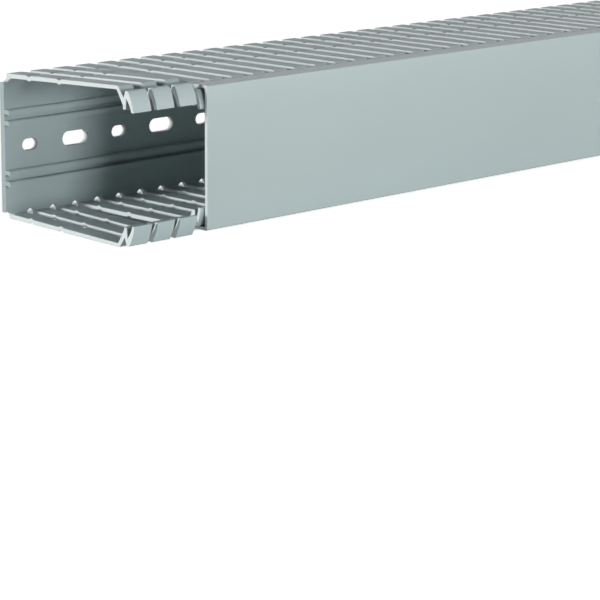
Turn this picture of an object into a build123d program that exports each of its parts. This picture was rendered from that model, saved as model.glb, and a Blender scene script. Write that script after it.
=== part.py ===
from build123d import *
from math import floor, sqrt
import os

# Slotted wiring duct in rigid PVC: a base with two finger walls, and a cover snapped over the finger tips.
# Millimetres. X runs along the duct, +Y into the wall that carries it, +Z up; the duct lies on its
# lower finger wall. The origin is the middle of the mounting face, on the outer face of the base plate.

# The whole duct, and how far the finger walls stand outside the cover
length = 1000.0
depth = 80.0
cover_width = 60.0
wall_stand_off = 0.7

# Base plate and finger walls; a wall thins towards its fold
plate_t = 2.6
wall_root_t = 2.1
wall_fold_t = 1.75

# Slots between the fingers; each reaches round the corner into the plate, and the ends cut through one
pitch = 12.5
slot_w = 5.0
slot_reach = 3.5
end_cut = 1.2

# Folded finger tip: a leg inwards, a groove, a crest and a flap that ends behind the cover
leg_t = 2.0
leg_lean = 3.8
groove_depth = 5.7
groove_lean = 1.0
tip_depth = 9.3
tip_t = 2.2
crest_t = 1.7
notch_depth = 5.0
flap_gap = 2.8
flap_t = 1.6
flap_depth = 10.4
flap_lean = 2.35

# Cover: its lips lie over the crests, and a barb along each lip hooks into the groove
cover_t = 1.4
lip_t = 1.3
lip_clearance = 0.25
cover_clearance = 0.25
cover_setback = 42.3
cover_r = 0.8
barb_clearance = 0.35
barb_depth = 1.0
barb_slope = 0.4

# Fingers that the cover doesn't hold in spring open by this angle, their crests rise and their flaps
# roll forward
spread_angle = 1.8
crest_rise = 0.6
crest_roll = 0.5
flap_roll = 1.2

# Short and long fixing holes in turn along the middle of the plate, one at every second slot; all but
# the first dozen have chamfered ends instead of round ones, as the slots' roots do, to keep the part light
short_hole = (8.2, 5.0)
long_hole = (14.0, 6.2)
round_holes = 12

# Hooked ribs in two pairs inside the plate, for a clip-in partition
rib_height = 2.9
rib_t = 2.0
rib_barb = 0.5
rib_inner_z = 10.5
rib_outer_z = 15.1

# Worked out from the sizes above
half_width = cover_width / 2 + wall_stand_off
root_z = half_width - slot_reach
left = -length / 2
right = length / 2
slots = floor((length - end_cut + slot_w / 2) / pitch) + 1
flap_front = depth - cover_t - cover_clearance
crest_front = flap_front - flap_lean
crest_back = crest_front - crest_t
crest_depth = wall_stand_off + lip_t + lip_clearance
groove_front = crest_back - groove_lean
bend_front = groove_front - leg_lean
cover_left = left + cover_setback
loose_fingers = floor((cover_setback - end_cut) / pitch)
overrun = 5.0
run_slots = 8


def slot_x(index):
    """Middle of a slot along the duct, counted from the one that the left end cuts through."""
    return left + end_cut + index * pitch


def wall_corners(sprung):
    """Corners of a finger wall with its folded tip, from the outer to the inner face of the plate:
    distance forward of the mounting face, and depth in from the wall's outer face."""
    rise, crest_shift, flap_shift = (crest_rise, crest_roll, flap_roll) if sprung else (0, 0, 0)
    flap_end = flap_front + flap_shift
    return [
        (0, slot_reach),
        (0, 0),
        (bend_front, 0),
        (groove_front, groove_depth),
        (crest_back + crest_shift, crest_depth - rise),
        (crest_front + crest_shift, crest_depth - rise),
        (flap_end, flap_depth),
        (flap_end - flap_t, flap_depth),
        (groove_front + leg_t, notch_depth),
        (groove_front + flap_t, tip_depth),
        (groove_front + flap_t - tip_t, tip_depth),
        (bend_front - leg_t / 2, wall_fold_t),
        (plate_t, wall_root_t),
        (plate_t, slot_reach),
    ]


def rib_section():
    """Section of one rib: square to the plate, bevelled above and barbed below at its edge."""
    with BuildSketch() as rib:
        Polygon(
            (plate_t / 2, rib_t / 2),
            (rib_barb - rib_height, rib_t / 2),
            (-rib_height, rib_t / 2 - rib_barb),
            (-rib_height, -rib_t / 2 - rib_barb),
            (2 * rib_barb - rib_height, -rib_t / 2),
            (plate_t / 2, -rib_t / 2),
            align=None,
        )
    return rib.sketch


def base_run(start, end, sprung):
    """One run of the base's extrusion; where the fingers are sprung, both walls are opened by the spread
    angle about the slots' roots."""
    root = Vector(0, root_z)
    angle = spread_angle if sprung else 0
    upper = [
        root + (Vector(-forward, half_width - inward) - root).rotate(Axis.Z, -angle)
        for forward, inward in wall_corners(sprung)
    ]
    lower = [Vector(point.X, -point.Y) for point in reversed(upper)]
    with BuildSketch(Plane.YZ.offset(start)) as section:
        Polygon(*upper, *lower, align=None)
        with Locations(*[(-plate_t, z) for z in (-rib_outer_z, -rib_inner_z, rib_inner_z, rib_outer_z)]):
            add(rib_section())
    return extrude(section.sketch, end - start)


def chamfered_slot(slot_length, width):
    """Slot outline with an octagon's chamfers in place of its round ends."""
    with BuildSketch() as slot:
        Rectangle(slot_length, width)
        chamfer(slot.vertices(), width / (2 + sqrt(2)))
    return slot.sketch


def slot_cutters():
    """What a slot at the middle of the duct removes from both walls: its roots in the plate's edges, the
    walls and their first legs, and the narrower gap between the flaps."""
    reach = flap_depth + overrun
    with BuildSketch(Plane.XZ.offset(-overrun)) as root:
        with Locations((0, root_z + slot_w)):
            add(chamfered_slot(2 * slot_w, slot_w), rotation=90)
    wall = Box(slot_w, groove_front - plate_t, reach)
    flap = Box(flap_gap, depth + overrun - groove_front, reach)
    z = half_width - flap_depth + reach / 2
    upper = [
        extrude(root.sketch, overrun + plate_t),
        Pos(0, -(plate_t + groove_front) / 2, z) * wall,
        Pos(0, -(groove_front + depth + overrun) / 2, z) * flap,
    ]
    return upper + [mirror(cutter, Plane.XY) for cutter in upper]


def hole_cutter(index):
    """Fixing hole at a slot, through the plate: short and long in turn."""
    size = long_hole if index // 2 % 2 else short_hole
    with BuildSketch(Plane.XZ.offset(-overrun)) as hole:
        with Locations((slot_x(index), 0)):
            if index < 2 * round_holes:
                SlotOverall(*size)
            else:
                add(chamfered_slot(*size))
    return extrude(hole.sketch, overrun + plate_t)


def make_base():
    """Base: plate and finger walls extruded as one, with the slots and holes punched out of it."""
    joins = [loose_fingers, *range(loose_fingers + run_slots, slots - 1, run_slots)]
    starts = [left, *map(slot_x, joins)]
    cutters = slot_cutters()
    runs = []
    for start, end in zip(starts, [*starts[1:], right]):
        run = base_run(start, end, start == left)
        inside = [i for i in range(slots) if start - slot_w < slot_x(i) < end + slot_w]
        cuts = [Pos(slot_x(i)) * cutter for i in inside for cutter in cutters]
        cuts += [hole_cutter(i) for i in inside if i % 2]
        runs.append(run - cuts)
    return runs[0] + runs[1:]


def make_cover():
    """Cover: a shallow channel with a barb along the inner edge of each lip."""
    half = cover_width / 2
    inner = half - lip_t
    slope = leg_lean / groove_depth
    lip_back = bend_front + wall_stand_off * slope + barb_clearance
    barb_back = lip_back + (lip_t + barb_depth) * slope
    barb_front = crest_back - barb_clearance
    side = [
        (-depth, half, cover_r),
        (-lip_back, half, 0),
        (-barb_back, inner - barb_depth, 0),
        (-(barb_front - barb_slope), inner - barb_depth, 0),
        (-barb_front, inner, 0),
        (cover_t - depth, inner, 0),
    ]
    corners = side + [(y, -z, radius) for y, z, radius in reversed(side)]
    with BuildSketch(Plane.YZ.offset(cover_left)) as section:
        with BuildLine():
            FilletPolyline(*[(y, z) for y, z, _ in corners], radius=[r for _, _, r in corners], close=True)
        make_face()
    return extrude(section.sketch, right - cover_left)


os.makedirs("parts", exist_ok=True)
export_step(make_base(), "parts/duct_base.step")
export_step(make_cover(), "parts/duct_cover.step")
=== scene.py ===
from math import cos, pi, radians, sin, tan

import bmesh
import bpy
from mathutils import Matrix, Vector


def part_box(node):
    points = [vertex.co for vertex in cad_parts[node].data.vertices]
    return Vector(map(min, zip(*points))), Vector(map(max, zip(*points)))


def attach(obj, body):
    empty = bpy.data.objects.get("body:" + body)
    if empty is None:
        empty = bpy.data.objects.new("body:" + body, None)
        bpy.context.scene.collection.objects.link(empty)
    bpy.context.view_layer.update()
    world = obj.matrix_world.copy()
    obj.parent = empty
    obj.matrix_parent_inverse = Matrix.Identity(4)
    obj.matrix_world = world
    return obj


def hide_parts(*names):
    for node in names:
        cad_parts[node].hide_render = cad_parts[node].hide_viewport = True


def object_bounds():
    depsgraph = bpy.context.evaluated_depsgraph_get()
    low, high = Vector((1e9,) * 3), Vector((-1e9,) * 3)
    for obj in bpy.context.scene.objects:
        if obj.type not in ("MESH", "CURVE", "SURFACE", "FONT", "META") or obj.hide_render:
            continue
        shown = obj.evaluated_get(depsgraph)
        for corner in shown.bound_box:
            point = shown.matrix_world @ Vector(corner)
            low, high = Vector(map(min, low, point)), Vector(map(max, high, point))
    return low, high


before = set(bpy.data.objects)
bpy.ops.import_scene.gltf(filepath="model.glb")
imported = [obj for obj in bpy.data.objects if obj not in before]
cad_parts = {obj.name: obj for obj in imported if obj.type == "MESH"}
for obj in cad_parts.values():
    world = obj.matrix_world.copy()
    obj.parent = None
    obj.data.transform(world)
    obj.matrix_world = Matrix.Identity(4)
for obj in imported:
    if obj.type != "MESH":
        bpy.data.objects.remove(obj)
cad_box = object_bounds()
scene = bpy.context.scene
mm = 0.001


# The camera stands to the left of the duct, a little above it, and looks along it into its open end.
# Its place comes from the cover's edges, the slots and the fingers' outlines in the photograph.
camera_place = (-1.1823, -0.8366, 0.1820)
camera_turn = 45.85
camera_tilt = 12.95
camera_roll = 0.33
camera_lens = 156.4

camera = bpy.data.objects.new("camera", bpy.data.cameras.new("camera"))
scene.collection.objects.link(camera)
camera.location = camera_place
aim = Matrix.Rotation(radians(-camera_turn), 3, "Z") @ Matrix.Rotation(radians(90 - camera_tilt), 3, "X")
camera.rotation_euler = (aim @ Matrix.Rotation(radians(camera_roll), 3, "Z")).to_euler()
camera.data.lens = camera_lens
scene.camera = camera
scene.view_settings.view_transform = "Standard"


# A white studio: a paper floor, a white surround, a low lamp in front of the duct's open end, a large one to
# the right and one beyond that end. The paper glows white for the camera, but that glow is cut away under
# the duct and just behind it, a painted shade, so that the slots show a dark gap there. A lamp has a place,
# a target, a size and its watts.
surround_light = 0.01
white_colour = (1, 1, 1, 1)
floor_half = 6.0
floor_colour = (0.80, 0.80, 0.80, 1)
floor_roughness = 0.9
floor_glow = 0.83
floor_light = 0.05
# Painted shade under the duct: how softly the paper's glow fades out, and how far its box is moved from the
# duct's bounds.
painted_shade_fade = 0.008
painted_shade_shift = ((0.02, 0.012, 0), (-0.012, 0.02, 0))
lamps = {
    "front_lamp": ((-0.5, -1.3, 0.06), (-0.4, 0.0, 0.0), (0.42, 0.16), 6.7),
    "right_lamp": ((1.2, -2.5, 0.8), (-0.25, 0.0, 0.0), (1.2, 1.2), 35.0),
    "end_lamp": ((-3.0, 0.3, 0.5), (-0.45, 0.0, 0.0), (0.4, 0.4), 48.0),
}


def feed(node, inputs):
    """Gives each named input of a node its value, or links it to the output that feeds it."""
    for socket, value in inputs.items():
        if isinstance(value, bpy.types.NodeSocket):
            node.id_data.links.new(value, node.inputs[socket])
        else:
            node.inputs[socket].default_value = value


def make_node(tree, kind, inputs=None, **settings):
    """New node in a tree, with its settings and then its inputs."""
    node = tree.nodes.new(kind)
    for name, value in settings.items():
        setattr(node, name, value)
    feed(node, inputs or {})
    return node


world = bpy.data.worlds.new("studio")
scene.world = world
world.use_nodes = True
tree = world.node_tree
surround = tree.nodes["Background"]
feed(surround, {"Color": white_colour, "Strength": surround_light})
white = make_node(tree, "ShaderNodeBackground", {"Color": white_colour})
ray = make_node(tree, "ShaderNodeLightPath").outputs
seen = make_node(
    tree, "ShaderNodeMath", {0: ray["Is Camera Ray"], 1: ray["Is Glossy Ray"]}, operation="MAXIMUM")
seen_any = make_node(
    tree, "ShaderNodeMath", {0: seen.outputs[0], 1: ray["Is Transmission Ray"]}, operation="MAXIMUM")
blend = make_node(tree, "ShaderNodeMixShader", {
    "Fac": seen_any.outputs[0], 1: surround.outputs["Background"], 2: white.outputs["Background"]})
feed(tree.nodes["World Output"], {"Surface": blend.outputs["Shader"]})

for name, (place, target, (width, height), power) in lamps.items():
    lamp = bpy.data.objects.new(name, bpy.data.lights.new(name, "AREA"))
    scene.collection.objects.link(lamp)
    lamp.location = place
    lamp.rotation_euler = (Vector(target) - Vector(place)).to_track_quat("-Z", "Y").to_euler()
    lamp.data.shape = "RECTANGLE"
    lamp.data.size, lamp.data.size_y = width, height
    lamp.data.energy = power

floor_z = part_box("duct_base")[0][2]
floor_mesh = bpy.data.meshes.new("floor")
corners = [(x * floor_half, y * floor_half, floor_z) for x, y in ((-1, -1), (1, -1), (1, 1), (-1, 1))]
floor_mesh.from_pydata(corners, [], [(0, 1, 2, 3)])
floor = bpy.data.objects.new("floor", floor_mesh)
scene.collection.objects.link(floor)
floor_material = bpy.data.materials.new("floor_paper")
floor_material.use_nodes = True
tree = floor_material.node_tree
paper = tree.nodes["Principled BSDF"]
feed(paper, {"Base Color": floor_colour, "Roughness": floor_roughness})
# Painted shade: the camera glow fades to nothing over a box under the duct. The box is drawn in 20 mm from
# the left end and 12 mm from the front and the right end, and grown 20 mm behind the duct.
painted_shade_low, painted_shade_high = (Vector(corner) + Vector(shift) for corner, shift in zip(cad_box, painted_shade_shift))
place = make_node(tree, "ShaderNodeTexCoord").outputs["Object"]
from_middle = make_node(
    tree, "ShaderNodeVectorMath", {0: place, 1: (painted_shade_low + painted_shade_high) / 2}, operation="SUBTRACT")
distance = make_node(tree, "ShaderNodeVectorMath", {0: from_middle.outputs["Vector"]}, operation="ABSOLUTE")
past_edge = make_node(
    tree, "ShaderNodeVectorMath", {0: distance.outputs["Vector"], 1: (painted_shade_high - painted_shade_low) / 2},
    operation="SUBTRACT")
apart = make_node(tree, "ShaderNodeSeparateXYZ", {0: past_edge.outputs["Vector"]}).outputs
farther = make_node(tree, "ShaderNodeMath", {0: apart["X"], 1: apart["Y"]}, operation="MAXIMUM")
painted_shade_mask = make_node(
    tree, "ShaderNodeMapRange",
    {"Value": farther.outputs[0], "From Min": -painted_shade_fade, "From Max": 0, "To Max": floor_glow},
    interpolation_type="SMOOTHSTEP")
glow = make_node(tree, "ShaderNodeEmission", {"Strength": painted_shade_mask.outputs["Result"]})
faint = make_node(tree, "ShaderNodeEmission", {"Strength": floor_light})
ray = make_node(tree, "ShaderNodeLightPath").outputs
shown = make_node(tree, "ShaderNodeMixShader", {
    "Fac": ray["Is Camera Ray"], 1: faint.outputs["Emission"], 2: glow.outputs["Emission"]})
both = make_node(tree, "ShaderNodeAddShader", {0: paper.outputs["BSDF"], 1: shown.outputs["Shader"]})
feed(tree.nodes["Material Output"], {"Surface": both.outputs["Shader"]})
floor_mesh.materials.append(floor_material)


# The base is one extrusion of rigid PVC: a back plate with two pairs of hooked ribs, and two walls that
# are punched into fingers, whose tips are folded in, out and in again. Each wall is scored twice, so that
# fingers snap off. The cover doesn't hold in the first three fingers, which spring open a little.
base_low, base_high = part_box("duct_base")
left, right = base_low[0] / mm, base_high[0] / mm
depth = 80.0
half_width = 30.7
plate_t = 2.6
wall_root_t = 2.1
wall_fold_t = 1.75
root_corner_r = 1.0
pitch = 12.5
slot_w = 5.0
slot_reach = 3.5
end_cut = 1.2
bend_front = 69.5
groove_front = 73.3
groove_depth = 5.7
crest_back = 74.3
crest_front = 76.0
crest_depth = 2.25
flap_front = 78.35
flap_depth = 10.4
flap_t = 1.6
flap_gap = 2.8
flap_curl = 0.45
notch = (75.3, 5.0)
tongue_front = 74.9
tongue_back = 72.7
tongue_depth = 9.3
leg_inside = 68.5
bend_r = 1.5
crest_r = 1.1
tip_r = 0.5
score_places = (14.5, 33.5)
score_half = 1.5
score_depth = 0.45
sprung = 3
spread = radians(1.8)
crest_rise = 0.6
crest_roll = 0.5
flap_roll = 1.2
short_hole = (8.2, 5.0)
long_hole = (14.0, 6.2)
rib_height = 2.9
rib_half = 1.0
rib_barb = 0.5
ribs = (10.5, 15.1)
punched_edge = 0.15
arc_step = radians(24)
root_steps = 6
hole_steps = 8
crease = radians(32)
pvc_ior = 1.53
pvc_bump = 0.12
pvc_bump_height = 0.0002


def slot_x(index):
    """Middle of a slot along the duct, counted from the one that the left end cuts through."""
    return left + end_cut + index * pitch


def rounded(corners):
    """Outline through corners given as forward, inward and radius. An open outline has sharp ends."""
    line = []
    for index, (forward, inward, radius) in enumerate(corners):
        here = Vector((forward, inward))
        if radius == 0:
            line.append(here)
            continue
        back = (Vector(corners[index - 1][:2]) - here).normalized()
        ahead = (Vector(corners[(index + 1) % len(corners)][:2]) - here).normalized()
        turn = pi - back.angle(ahead)
        middle = here + (back + ahead).normalized() * radius / cos(turn / 2)
        start = here + back * radius * tan(turn / 2) - middle
        end = here + ahead * radius * tan(turn / 2) - middle
        steps = max(1, round(turn / arc_step))
        for step in range(steps + 1):
            share = turn * step / steps
            line.append(middle + (start * sin(turn - share) + end * sin(share)) / sin(turn))
    return line


def wall_inside(forward):
    """Depth of the wall's inner face below its outer face, which falls from the root to the fold."""
    share = (forward - plate_t) / (leg_inside - plate_t)
    return wall_root_t + (wall_fold_t - wall_root_t) * share


def curled(start, end):
    """Points between two corners of the flap, which curls forward."""
    points = []
    for share in (0.3, 0.6):
        forward, inward = (a + (b - a) * share for a, b in zip(start, end))
        points.append((forward + 4 * flap_curl * share * (1 - share), inward, 0))
    return points


def scored(place, outside, middle):
    """Corners across a score line, between a face of the wall and the line's own depth."""
    return [
        (place - score_half, outside, 0),
        (place - score_half / 3, middle, 0),
        (place + score_half / 3, middle, 0),
        (place + score_half, outside, 0),
    ]


def finger_outline(opened):
    """Side of one finger, from the plate's outer face round the tip to its inner face: the score lines
    show as a groove outside and a low bead inside."""
    rise, crest_shift, flap_shift = (crest_rise, crest_roll, flap_roll) if opened else (0, 0, 0)
    crest = (crest_front + crest_shift, crest_depth - rise)
    flap_end = flap_front + flap_shift
    grooves, beads = [], []
    for place in score_places:
        inside = wall_inside(place)
        grooves += scored(place, 0, score_depth)
        beads += scored(place, inside, inside + score_depth)
    root = slot_reach - slot_w / 2
    return rounded([
        (0, root, 0),
        (0, 0, root_corner_r),
        *grooves,
        (bend_front, 0, bend_r),
        (groove_front, groove_depth, 0),
        (crest_back + crest_shift, crest_depth - rise, tip_r),
        (*crest, crest_r),
        *curled(crest, (flap_end, flap_depth)),
        (flap_end, flap_depth, tip_r / 2),
        (flap_end - flap_t, flap_depth, tip_r / 2),
        *curled((flap_end - flap_t, flap_depth), notch),
        (*notch, 0),
        (tongue_front, tongue_depth, tip_r),
        (groove_front, tongue_depth, 0),
        (tongue_back, tongue_depth, tip_r),
        (leg_inside, wall_fold_t, tip_r),
        *reversed(beads),
        (plate_t, wall_root_t, root_corner_r),
        (plate_t, wall_root_t + root_corner_r, 0),
    ])


def rib_outline(side):
    """Inner face of the plate from the middle strip past one pair of ribs: all barbs point down."""
    line = []
    for place in ribs:
        middle = side * place
        rib = [
            (plate_t, middle - rib_half),
            (plate_t + rib_height - 2 * rib_barb, middle - rib_half),
            (plate_t + rib_height, middle - rib_half - rib_barb),
            (plate_t + rib_height, middle + rib_half - rib_barb),
            (plate_t + rib_height - rib_barb, middle + rib_half),
            (plate_t, middle + rib_half),
        ]
        line += rib if side > 0 else rib[::-1]
    return line


def make_part(name, faces):
    """Mesh object of loose faces, in millimetres, each with whether it is punched or as extruded."""
    points = [point for face, _ in faces for point in face]
    mesh = bpy.data.meshes.new(name)
    indices, start = [], 0
    for face, _ in faces:
        indices.append(range(start, start + len(face)))
        start += len(face)
    mesh.from_pydata([Vector(point) * mm for point in points], [], indices)
    punched = mesh.attributes.new("punched", "FLOAT", "FACE")
    punched.data.foreach_set("value", [float(cut) for _, cut in faces])
    return bpy.data.objects.new(name, mesh)


def make_pair(name, opened):
    """One pitch of both walls, from slot to slot, with the plate between the middle strip and the walls."""
    faces = []
    outline = finger_outline(opened)
    root = slot_reach - slot_w / 2
    foot = wall_root_t + root_corner_r
    fold_start = outline.index(Vector((groove_front, groove_depth)))
    fold_end = outline.index(Vector((groove_front, tongue_depth)))
    sides = (slot_w / 2, pitch - slot_w / 2)
    wide = (flap_gap / 2, pitch - flap_gap / 2)
    quarter = [pi / 2 * step / root_steps for step in range(root_steps + 1)]
    arc = [(slot_w / 2 * sin(turn), root + slot_w / 2 * cos(turn)) for turn in quarter]
    far_arc = [(pitch - x, inward) for x, inward in reversed(arc)]
    inner = half_width - ribs[0] + rib_half
    outer = half_width - ribs[1] - rib_half

    for side in (1, -1):
        def at(x, forward, inward):
            out = slot_reach - inward
            if opened and (out > 0 or forward > plate_t):
                forward, out = (
                    forward * cos(spread) - out * sin(spread),
                    forward * sin(spread) + out * cos(spread),
                )
            return (x, -forward, side * (half_width - slot_reach + out))

        def add(points, cut):
            faces.append(([at(*point) for point in points], cut))

        for index, (a, b) in enumerate(zip(outline, outline[1:])):
            folded = fold_start <= index < fold_end
            low, high = wide if folded else sides
            near = [(low, *a), (high, *a)]
            far = [(high, *b), (low, *b)]
            if index == fold_start:
                near = [(low, *a), (sides[0], *a), (sides[1], *a), (high, *a)]
            if index == fold_end - 1:
                far = [(high, *b), (sides[1], *b), (sides[0], *b), (low, *b)]
            add(near + far, False)
        corner = Vector((plate_t, root))
        for x, flap_x in zip(sides, wide):
            add([(x, *point) for point in outline[:fold_start + 1] + outline[fold_end:] + [corner]], True)
            add([(flap_x, *point) for point in outline[fold_start:fold_end + 1]], True)
            ledge = [(x, *outline[fold_start]), (flap_x, *outline[fold_start])]
            ledge += [(flap_x, *outline[fold_end]), (x, *outline[fold_end])]
            add(ledge, True)

        edge = [(0, inner)] + arc + far_arc + [(pitch, inner)]
        add([(x, 0, inward) for x, inward in edge], False)
        edge = [(0, outer)] + arc + [(sides[0], foot), (sides[1], foot)] + far_arc + [(pitch, outer)]
        add([(x, plate_t, inward) for x, inward in edge], False)
        for run in (arc, far_arc):
            for (x0, in0), (x1, in1) in zip(run, run[1:]):
                add([(x0, 0, in0), (x1, 0, in1), (x1, plate_t, in1), (x0, plate_t, in0)], True)
        line = rib_outline(side)
        for (front0, z0), (front1, z1) in zip(line, line[1:]):
            strip = [(0, -front0, z0), (pitch, -front0, z0), (pitch, -front1, z1), (0, -front1, z1)]
            faces.append((strip, False))
    return make_part(name, faces)


def make_hole_strip(name, size):
    """Two pitches of the plate's middle strip round one fixing hole."""
    length, width = size
    radius = width / 2
    quarter = [pi / 2 * step / hole_steps for step in range(hole_steps + 1)]
    end = [(length / 2 - radius + radius * cos(turn), radius * sin(turn)) for turn in quarter]
    top = end + [(-x, z) for x, z in reversed(end)]
    edge = ribs[0] - rib_half
    faces = []
    for side in (1, -1):
        half = [(-pitch, 0), (-pitch, edge), (0, edge), (pitch, edge), (pitch, 0)] + top
        for forward in (0, plate_t):
            faces.append(([(x, -forward, side * z) for x, z in half], False))
        for (x0, z0), (x1, z1) in zip(top, top[1:]):
            near = [(x0, 0, side * z0), (x1, 0, side * z1)]
            far = [(x1, -plate_t, side * z1), (x0, -plate_t, side * z0)]
            faces.append((near + far, True))
    return make_part(name, faces)


def make_row_tree():
    """Rows of punched parts along the duct: fingers that stand open, fingers that the cover holds, and
    short and long holes in turn."""
    tree = bpy.data.node_groups.new("punched_rows", "GeometryNodeTree")
    new = tree.interface.new_socket
    new("Geometry", in_out="OUTPUT", socket_type="NodeSocketGeometry")
    rows = ("open fingers", "held fingers", "short holes", "long holes")
    kinds = {"part": "Object", "first": "Float", "step": "Float", "count": "Int"}
    for row in rows:
        for what, kind in kinds.items():
            new(f"{row} {what}", in_out="INPUT", socket_type=f"NodeSocket{kind}")
    for finish in ("extruded", "punched"):
        new(finish, in_out="INPUT", socket_type="NodeSocketMaterial")
    given = make_node(tree, "NodeGroupInput").outputs
    join = make_node(tree, "GeometryNodeJoinGeometry")
    for row in rows:
        part = make_node(tree, "GeometryNodeObjectInfo", {"Object": given[f"{row} part"]})
        first = make_node(tree, "ShaderNodeCombineXYZ", {"X": given[f"{row} first"]})
        step = make_node(tree, "ShaderNodeCombineXYZ", {"X": given[f"{row} step"]})
        line = make_node(tree, "GeometryNodeMeshLine", {
            "Count": given[f"{row} count"], "Start Location": first.outputs["Vector"],
            "Offset": step.outputs["Vector"]})
        placed = make_node(tree, "GeometryNodeInstanceOnPoints", {
            "Points": line.outputs["Mesh"], "Instance": part.outputs["Geometry"]})
        feed(join, {"Geometry": placed.outputs["Instances"]})
    whole = make_node(tree, "GeometryNodeRealizeInstances", {"Geometry": join.outputs["Geometry"]})
    plain = make_node(tree, "GeometryNodeSetMaterial", {
        "Geometry": whole.outputs["Geometry"], "Material": given["extruded"]})
    mark = make_node(tree, "GeometryNodeInputNamedAttribute", {"Name": "punched"}, data_type="FLOAT")
    chosen = make_node(
        tree, "FunctionNodeCompare", {"A": mark.outputs["Attribute"], "B": 0.5}, operation="GREATER_THAN")
    # Punched faces take the pale material: partly their whitening, partly a painted highlight.
    cut = make_node(tree, "GeometryNodeSetMaterial", {
        "Geometry": plain.outputs["Geometry"], "Selection": chosen.outputs["Result"],
        "Material": given["punched"]})
    make_node(tree, "NodeGroupOutput", {"Geometry": cut.outputs["Geometry"]})
    return tree


def make_pvc_group():
    """Rigid PVC from the die: fine lines along the duct, faint clouds in the colour and a dull bloom; on cut
    faces a pale mix, partly the whitening of cut PVC and partly a painted highlight.
    """
    group = bpy.data.node_groups.new("extruded_pvc", "ShaderNodeTree")
    new = group.interface.new_socket
    new("Colour", in_out="INPUT", socket_type="NodeSocketColor")
    for name, value in (("Roughness", 0.42), ("Die lines", 0.25), ("Clouds", 0.05), ("Whitening", 0.0)):
        new(name, in_out="INPUT", socket_type="NodeSocketFloat").default_value = value
    new("Colour", in_out="OUTPUT", socket_type="NodeSocketColor")
    new("Roughness", in_out="OUTPUT", socket_type="NodeSocketFloat")
    new("Height", in_out="OUTPUT", socket_type="NodeSocketFloat")
    given = make_node(group, "NodeGroupInput").outputs
    place = make_node(group, "ShaderNodeTexCoord").outputs["Object"]

    def noise(stretch, scale, detail):
        along = make_node(group, "ShaderNodeMapping", {"Vector": place, "Scale": stretch})
        pattern = make_node(group, "ShaderNodeTexNoise", {
            "Vector": along.outputs["Vector"], "Scale": scale, "Detail": detail})
        return pattern.outputs["Fac"]

    def math(operation, a, b):
        return make_node(group, "ShaderNodeMath", {0: a, 1: b}, operation=operation).outputs[0]

    lines = noise((0.02, 1.0, 1.0), 1400.0, 3.0)
    clouds = noise((0.35, 1.0, 1.0), 38.0, 4.0)
    grain = noise((1.0, 1.0, 1.0), 900.0, 2.0)
    cloud_shift = math("MULTIPLY", math("SUBTRACT", clouds, 0.5), given["Clouds"])
    line_shift = math("MULTIPLY", math("SUBTRACT", lines, 0.5), math("MULTIPLY", given["Die lines"], 0.06))
    lighter = math("ADD", math("ADD", cloud_shift, line_shift), 1.0)
    tint = make_node(
        group, "ShaderNodeVectorMath", {0: given["Colour"], "Scale": lighter}, operation="SCALE")
    # Pale mix: partly the stress whitening of cut PVC, partly a painted highlight standing in for the light
    # on cut faces and edges.
    whitening_and_highlight = math("MULTIPLY", given["Whitening"], math("ADD", grain, 0.3))
    whitened_and_highlit = make_node(group, "ShaderNodeMix", {
        "Factor": whitening_and_highlight, "A": tint.outputs["Vector"], "B": (0.86, 0.9, 0.9, 1)}, data_type="RGBA")
    dulled = math("MULTIPLY", math("SUBTRACT", grain, 0.5), 0.16)
    make_node(group, "NodeGroupOutput", {
        "Colour": whitened_and_highlit.outputs["Result"],
        "Roughness": math("ADD", given["Roughness"], dulled),
        "Height": math("ADD", math("MULTIPLY", lines, given["Die lines"]), math("MULTIPLY", grain, 0.3)),
    })
    return group


def make_pvc(name, colour, **values):
    """Material of one finish of the duct's PVC."""
    material = bpy.data.materials.new(name)
    material.use_nodes = True
    tree = material.node_tree
    finish = make_node(tree, "ShaderNodeGroup", {
        "Colour": (*colour, 1), **{key.replace("_", " "): value for key, value in values.items()},
    }, node_tree=pvc_group).outputs
    bump = make_node(tree, "ShaderNodeBump", {
        "Strength": pvc_bump, "Distance": pvc_bump_height, "Height": finish["Height"]})
    feed(tree.nodes["Principled BSDF"], {
        "Base Color": finish["Colour"], "Roughness": finish["Roughness"], "IOR": pvc_ior,
        "Normal": bump.outputs["Normal"]})
    return material


def cut_end(shape, x, outwards):
    """Saws the mesh off square at one end and closes it."""
    everything = shape.verts[:] + shape.edges[:] + shape.faces[:]
    cut = bmesh.ops.bisect_plane(
        shape, geom=everything, dist=1e-7, plane_co=(x, 0, 0), plane_no=(outwards, 0, 0), clear_outer=True)
    edges = [item for item in cut["geom_cut"] if isinstance(item, bmesh.types.BMEdge)]
    ends = bmesh.ops.edgeloop_fill(shape, edges=edges)["faces"]
    punched = shape.faces.layers.float["punched"]
    # The closing faces take the pale material: partly the whitening of sawn PVC, partly a painted highlight.
    for face in ends:
        face[punched] = 1
        face.material_index = 1


def soften(shape, rims, width, **how):
    """Breaks punched or sawn edges, in the second material, whose pale colour paints a highlight along them.
    """
    bmesh.ops.bevel(
        shape, geom=rims, offset=width * mm, offset_type="OFFSET", segments=1, profile=0.5,
        affect="EDGES", clamp_overlap=False, material=1, **how)


def write_mesh(shape, mesh):
    """Writes the shape into a mesh, smooth but for its creases."""
    shape.to_mesh(mesh)
    shape.free()
    mesh.shade_smooth()
    mesh.set_sharp_from_angle(angle=crease)


pvc_group = make_pvc_group()
base_pvc = make_pvc("base_pvc_extruded", (0.41, 0.50, 0.51), Roughness=0.52, Clouds=0.10)
# Punched faces, sawn ends and edge chamfers: a pale colour, partly the whitening of punched PVC and partly a
# painted highlight.
punched_pvc_and_highlight = make_pvc("base_pvc_punched_highlight", (0.72, 0.78, 0.78), Roughness=0.6, Die_lines=0.6, Whitening=0.6)

open_pair = make_pair("open_pair", True)
held_pair = make_pair("held_pair", False)
short_strip = make_hole_strip("short_strip", short_hole)
long_strip = make_hole_strip("long_strip", long_hole)

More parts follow.
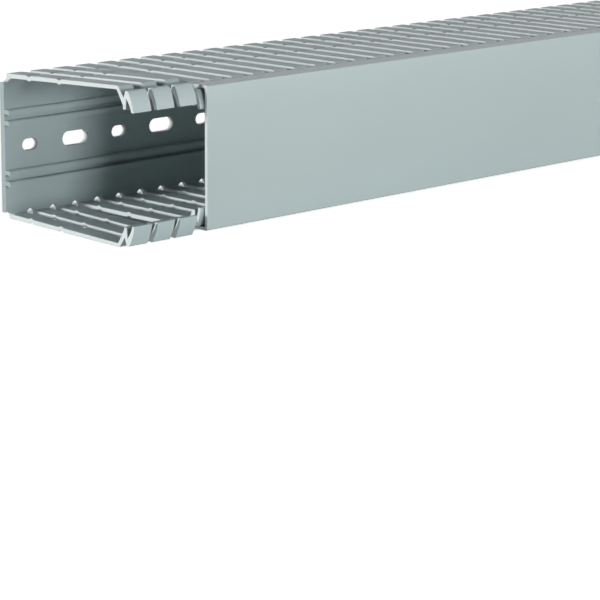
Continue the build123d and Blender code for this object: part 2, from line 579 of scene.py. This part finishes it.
pitches = int((right - left - end_cut) / pitch)
row_values = {
    "open fingers": (open_pair, slot_x(-1) * mm, pitch * mm, sprung + 1),
    "held fingers": (held_pair, slot_x(sprung) * mm, pitch * mm, pitches + 1 - sprung),
    "short holes": (short_strip, slot_x(1) * mm, 4 * pitch * mm, (pitches + 3) // 4),
    "long holes": (long_strip, slot_x(-1) * mm, 4 * pitch * mm, (pitches + 5) // 4),
}
base = bpy.data.objects.new("slotted_base", bpy.data.meshes.new("slotted_base"))
scene.collection.objects.link(base)
rows = base.modifiers.new("rows", "NODES")
rows.node_group = make_row_tree()
values = {"extruded": base_pvc, "punched": punched_pvc_and_highlight}
for row, row_value in row_values.items():
    for what, value in zip(("part", "first", "step", "count"), row_value):
        values[f"{row} {what}"] = value
for socket in rows.node_group.interface.items_tree:
    if socket.in_out == "INPUT":
        rows[socket.identifier] = values[socket.name]
view_layer = bpy.context.evaluated_depsgraph_get()
base_mesh = bpy.data.meshes.new_from_object(base.evaluated_get(view_layer), depsgraph=view_layer)
base.modifiers.remove(rows)

shape = bmesh.new()
shape.from_mesh(base_mesh)
bmesh.ops.remove_doubles(shape, verts=shape.verts, dist=1e-6)
cut_end(shape, left * mm, -1)
cut_end(shape, right * mm, 1)
bmesh.ops.recalc_face_normals(shape, faces=shape.faces)
punched = shape.faces.layers.float["punched"]
rims = [
    edge for edge in shape.edges
    if len(edge.link_faces) == 2 and edge.is_convex
    and edge.link_faces[0][punched] != edge.link_faces[1][punched]
]
soften(shape, rims, punched_edge, loop_slide=False)
write_mesh(shape, base_mesh)
base.data = base_mesh
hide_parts("duct_base")
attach(base, "base")


# The cover is the second extrusion: a shallow channel that clips over the folded tips, with a barb along
# each lip. It is sawn off square, 42 mm short of the base's open end.
cover_low, cover_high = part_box("duct_cover")
cover_start, cover_end = cover_low[0] / mm, cover_high[0] / mm
cover_half = 30.0
cover_t = 1.4
lip_t = 1.3
lip_back = 70.32
barb_back = 71.85
barb_front = 73.95
barb_depth = 1.0
barb_slope = 0.4
cover_r = 0.8
inner_r = 0.4
sawn_edge = 0.15


def make_cover():
    """Cover, swept between its two sawn ends."""
    lip = cover_half - lip_t
    side = [
        (depth, cover_half, cover_r),
        (lip_back, cover_half, 0),
        (barb_back, lip - barb_depth, 0),
        (barb_front - barb_slope, lip - barb_depth, 0),
        (barb_front, lip, 0),
        (depth - cover_t, lip, inner_r),
    ]
    outline = rounded(side + [(forward, -z, radius) for forward, z, radius in reversed(side)])
    shape = bmesh.new()
    rings = [
        [shape.verts.new((x * mm, -forward * mm, z * mm)) for forward, z in outline]
        for x in (cover_start, cover_end)
    ]
    ends = [shape.faces.new(ring) for ring in rings]
    for index in range(len(outline)):
        shape.faces.new((rings[0][index - 1], rings[0][index], rings[1][index], rings[1][index - 1]))
    bmesh.ops.recalc_face_normals(shape, faces=shape.faces)
    for end in ends:
        end.material_index = 1
    soften(shape, list({edge for end in ends for edge in end.edges}), sawn_edge)
    mesh = bpy.data.meshes.new("clip_cover")
    write_mesh(shape, mesh)
    return bpy.data.objects.new("clip_cover", mesh)


cover_pvc = make_pvc("cover_pvc_extruded", (0.43, 0.515, 0.515), Roughness=0.38, Clouds=0.07)
# Sawn ends and edge chamfers of the cover: pale, partly the whitening of sawn PVC and partly a painted
# highlight.
sawn_pvc_and_highlight = make_pvc("cover_pvc_sawn_highlight", (0.60, 0.66, 0.66), Roughness=0.62, Die_lines=0.6, Whitening=0.4)
cover = make_cover()
cover.data.materials.append(cover_pvc)
cover.data.materials.append(sawn_pvc_and_highlight)
scene.collection.objects.link(cover)
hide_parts("duct_cover")
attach(cover, "cover")
